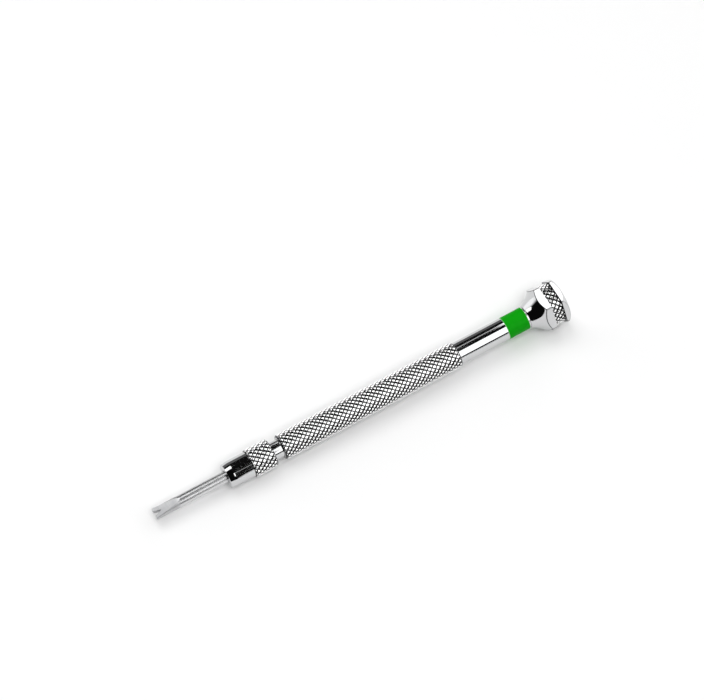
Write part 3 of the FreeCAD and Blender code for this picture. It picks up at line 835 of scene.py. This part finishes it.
def green_marker():
    """Moulded plastic ring: even green, paler along its two edges, a painted highlight."""
    finish = Finish("green_marker", Specular_IOR_Level=0.06)
    # painted highlight: the colour goes pale green over this width at each edge
    highlight_width = 0.15 * MM
    along = finish.part(finish.place(), "X")
    front_edge = along.step(SHANK_REAR + highlight_width, SHANK_REAR)
    edge = front_edge + along.step(RING_REAR - highlight_width, RING_REAR)
    cloud = finish.noise((400.0, 400.0, 400.0), detail=3.0)
    grain = finish.noise((9000.0, 9000.0, 9000.0), detail=2.0)
    body = finish.mix((0.0002, 0.275, 0.0004, 1.0), (0.0008, 0.32, 0.0012, 1.0), cloud)
    colour = finish.mix(body, (0.30, 0.75, 0.30, 1.0), edge * 0.6)
    return finish.set(
        Base_Color=colour,
        Roughness=0.42 + grain * 0.12,
        Normal=finish.bump(grain, 0.001 * MM))


# ---------------------------------------------------------------- putting the tool together

def dress(piece, material, body, slot, *nodes):
    """Gives a piece its finish and its body, and hides the nodes that it stands for; slot is not
    used.
    """
    piece.data.materials.clear()
    piece.data.materials.append(material)
    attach(piece, body)
    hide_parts(*nodes)


def paint_band(piece, material, low, high, radius):
    """Gives the faces of a knurled band a second finish: those between two stations and outside a
    radius."""
    mesh = piece.data
    mesh.materials.append(material)
    count = len(mesh.polygons)
    centres = np.zeros(count * 3)
    mesh.polygons.foreach_get("center", centres)
    centres = centres.reshape(-1, 3)
    outside = np.hypot(centres[:, 1], centres[:, 2] - AXIS) > radius
    inside = (centres[:, 0] > low) & (centres[:, 0] < high)
    mesh.polygons.foreach_set("material_index", (outside & inside).astype(np.int32))


def build_tool():
    """Every piece with its finish, and the finishes of the frame's own nodes."""
    chrome = polished_chrome()
    knurled = knurled_chrome()
    steel = ground_steel()
    green = green_marker()
    brass = turned_metal("collet_brass", (0.50, 0.33, 0.12, 1.0), (0.70, 0.50, 0.22, 1.0),
                         0.22, 0.001 * MM)
    bronze = turned_metal("bush_bronze", (0.33, 0.17, 0.08, 1.0), (0.50, 0.29, 0.14, 1.0),
                          0.34, 0.002 * MM)
    spring = turned_metal("spring_steel", (0.16, 0.165, 0.19, 1.0), (0.30, 0.31, 0.34, 1.0),
                          0.26, 0.001 * MM)
    bright = turned_metal("bright_steel", (0.55, 0.55, 0.56, 1.0), (0.70, 0.70, 0.71, 1.0),
                          0.14, 0.0006 * MM)

    handle = make_handle()
    dress(handle, chrome, "handle", "polished_chrome", "handle")
    paint_band(handle, knurled, GRIP_FRONT, GRIP_REAR, SHANK_RADIUS)
    nut = make_nut()
    dress(nut, chrome, "nut", "polished_chrome", "chuck_nut")
    paint_band(nut, knurled, NUT_KNURL_FRONT, NUT_REAR, NUT_NOSE)
    head = make_head()
    dress(head, chrome, "head", "polished_chrome", "swivel_head")
    below_grooves = BAND_CREST - 1.1 * KNURL_DEPTH
    paint_band(head, knurled, FLANGE_REAR, BAND_REAR, below_grooves)
    dress(make_stem(), chrome, "handle", "polished_chrome", "chuck_stem")
    dress(make_finger_rest(), chrome, "head", "polished_chrome", "finger_rest")
    dress(make_blade(), steel, "blade", "blade_steel", "fork_blade")
    dress(make_ring(), green, "handle", "green_ring", "colour_ring")

    carried_over = {
        "collet": brass, "pivot_bush": bronze, "collet_ring": spring, "disc_spring": spring,
        "thrust_washer": bright, "pivot_screw": bright, "bearing_ball": bright}
    for node, material in carried_over.items():
        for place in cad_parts[node].material_slots:
            place.material = material


# ---------------------------------------------------------------- floor and camera

FLOOR_TILT = math.radians(1.24)
FLOOR_EDGE = HEAD_FRONT + 2.97 * MM
FLOOR_NORMAL = Vector((math.sin(FLOOR_TILT), 0.0, math.cos(FLOOR_TILT)))
FLOOR_ALONG = Vector((math.cos(FLOOR_TILT), 0.0, -math.sin(FLOOR_TILT)))
FLOOR_ACROSS = Vector((0.0, 1.0, 0.0))
FLOOR_HALF = 700.0 * MM

CAMERA_ELEVATION = math.radians(63.28)
CAMERA_TURN = math.radians(30.04)
CAMERA_DISTANCE = 1000.0 * MM
CAMERA_AIM = (-40.13 * MM, 14.72 * MM)

# lens, in millimetres as a camera has them
LENS_FOCUS = 224.9284
LENS_FIELD = 36.0


def on_floor(along, across):
    """Point of the floor, from where the head's edge rests on it."""
    return Vector((FLOOR_EDGE, 0.0, 0.0)) + FLOOR_ALONG * along + FLOOR_ACROSS * across


def make_floor():
    """Pale floor on which the tool lies, on the head's flat and on the nut's knurl."""
    corners = [on_floor(FLOOR_HALF * a, FLOOR_HALF * b) for a, b in
               ((-1.0, -1.0), (1.0, -1.0), (1.0, 1.0), (-1.0, 1.0))]
    mesh = bpy.data.meshes.new("floor")
    mesh.from_pydata([tuple(corner) for corner in corners], [], [(0, 1, 2, 3)])
    floor = bpy.data.objects.new("floor", mesh)
    bpy.context.scene.collection.objects.link(floor)
    finish = Finish("pale_floor", Roughness=0.9, Specular_IOR_Level=0.1)
    finish.set(Base_Color=grey(0.9))
    mesh.materials.append(finish.material)


def make_camera():
    """Camera at a fixed elevation over the floor, turned from the tool's axis."""
    right = FLOOR_ALONG * math.cos(CAMERA_TURN) - FLOOR_ACROSS * math.sin(CAMERA_TURN)
    away = FLOOR_ALONG * math.sin(CAMERA_TURN) + FLOOR_ACROSS * math.cos(CAMERA_TURN)
    back = FLOOR_NORMAL * math.sin(CAMERA_ELEVATION) - away * math.cos(CAMERA_ELEVATION)
    upward = back.cross(right)
    lens = bpy.data.cameras.new("camera")
    lens.sensor_width = LENS_FIELD
    lens.lens = LENS_FOCUS
    lens.clip_start = 10.0 * MM
    lens.clip_end = 10000.0 * MM
    camera = bpy.data.objects.new("camera", lens)
    turn = Matrix((right, upward, back)).transposed().to_4x4()
    camera.matrix_world = Matrix.Translation(on_floor(*CAMERA_AIM) + back * CAMERA_DISTANCE) @ turn
    bpy.context.scene.collection.objects.link(camera)
    bpy.context.scene.camera = camera


# ---------------------------------------------------------------- light

SURROUND_DARK = 0.004
SURROUND_BRIGHT = 1.3

CARD_DISTANCE = 300.0 * MM
LAMP_DISTANCE = 1100.0 * MM
CARD_ENDS = (-300.0 * MM, 420.0 * MM)
LAMP_ENDS = (-360.0 * MM, 300.0 * MM)
NOSE_ENDS = (8.0 * MM, 32.5 * MM)
GRIP_ENDS = (42.0 * MM, 92.0 * MM)


def card(name, centre, width, length, radiance, glossy=True, diffuse=True):
    """Soft light card that faces the tool's axis, with its length along the tool.  Polished
    metal shows it when it is glossy, and it lights the floor when it is diffuse."""
    light = bpy.data.lights.new(name, "AREA")
    light.shape = "RECTANGLE"
    light.size = length
    light.size_y = width
    light.energy = radiance * math.pi * length * width
    lamp = bpy.data.objects.new(name, light)
    back = Vector((0.0, centre.y, centre.z)).normalized()
    along = Vector((1.0, 0.0, 0.0))
    across = back.cross(along)
    lamp.matrix_world = Matrix.Translation(centre) @ Matrix(
        (along, across, back)).transposed().to_4x4()
    lamp.visible_camera = False
    lamp.visible_glossy = glossy
    lamp.visible_diffuse = diffuse
    bpy.context.scene.collection.objects.link(lamp)


def strip(name, angles, ends, distance, radiance, **seen):
    """Card that fills an angle, from low to high in degrees over the near horizon, and runs from
    one station to another, at a distance from the axis."""
    low, high = (math.radians(angle) for angle in angles)
    start, end = ends
    middle = (low + high) / 2.0
    width = 2.0 * distance * math.tan((high - low) / 2.0)
    centre = Vector(((start + end) / 2.0, -distance * math.cos(middle),
                     AXIS + distance * math.sin(middle)))
    card(name, centre, width, end - start, radiance, **seen)


def light_surround():
    """Surround that is bright towards the head's end and over the far side of the tip, and dark
    between, so that turned surfaces show dark bands and cut ones sparkle."""
    world = bpy.data.worlds.new("surround")
    world.use_nodes = True
    bpy.context.scene.world = world
    nodes = Nodes(world.node_tree)
    direction = nodes.node("ShaderNodeTexCoord", output="Generated")
    along = nodes.part(direction, "X")
    across = nodes.part(direction, "Y")
    head_side = along.step(0.42, 0.6)
    tip_side = along.step(-0.2, -0.35) * across.step(0.4, 0.6)
    background = world.node_tree.nodes["Background"]
    background.inputs["Color"].default_value = grey(1.0)
    strength = SURROUND_DARK + SURROUND_BRIGHT * head_side + SURROUND_BRIGHT * tip_side
    nodes.feed(background.inputs["Strength"], strength)


def light_studio():
    """Cards that the metal shows, with dark between them, and two broad lamps for the floor.

    Most cards are seen in the metal only; the low cards and the far strip also light the floor.
    The two lamps light the floor and the plastic, and the metal doesn't show them."""
    tip_end, head_end = CARD_ENDS
    nose_front, nose_rear = NOSE_ENDS
    for_metal = {"diffuse": False}
    strip("near_card", (23.0, 77.0), (nose_rear, head_end), CARD_DISTANCE, 2.0, **for_metal)
    strip("tip_card", (32.0, 60.0), (-40.0 * MM, nose_front), CARD_DISTANCE, 1.9, **for_metal)
    strip("slit_card", (55.3, 58.3), NOSE_ENDS, CARD_DISTANCE, 0.6, **for_metal)
    strip("grip_card", (77.0, 148.0), GRIP_ENDS, CARD_DISTANCE, 1.9, **for_metal)
    strip("grip_low_card", (2.0, 23.0), GRIP_ENDS, CARD_DISTANCE, 1.9, **for_metal)
    strip("low_card", (0.5, 8.0), (30.0 * MM, head_end), CARD_DISTANCE * 1.2, 1.0)
    strip("far_strip", (115.0, 121.0), (45.0 * MM, 110.0 * MM), CARD_DISTANCE, 0.8)
    strip("far_head_card", (104.0, 124.0), (110.0 * MM, head_end), CARD_DISTANCE, 2.1, **for_metal)
    strip("far_tip_card", (106.0, 132.0), (tip_end, 9.0 * MM), CARD_DISTANCE, 1.9, **for_metal)
    strip("far_low_card", (150.0, 179.0), CARD_ENDS, CARD_DISTANCE, 0.16)

    for_floor = {"glossy": False}
    strip("key", (95.0, 135.0), LAMP_ENDS, LAMP_DISTANCE, 2.85, **for_floor)
    strip("fill", (50.0, 85.0), LAMP_ENDS, LAMP_DISTANCE, 4.8, **for_floor)


light_surround()
build_tool()
make_floor()
make_camera()
light_studio()
bpy.context.scene.view_settings.view_transform = "Standard"
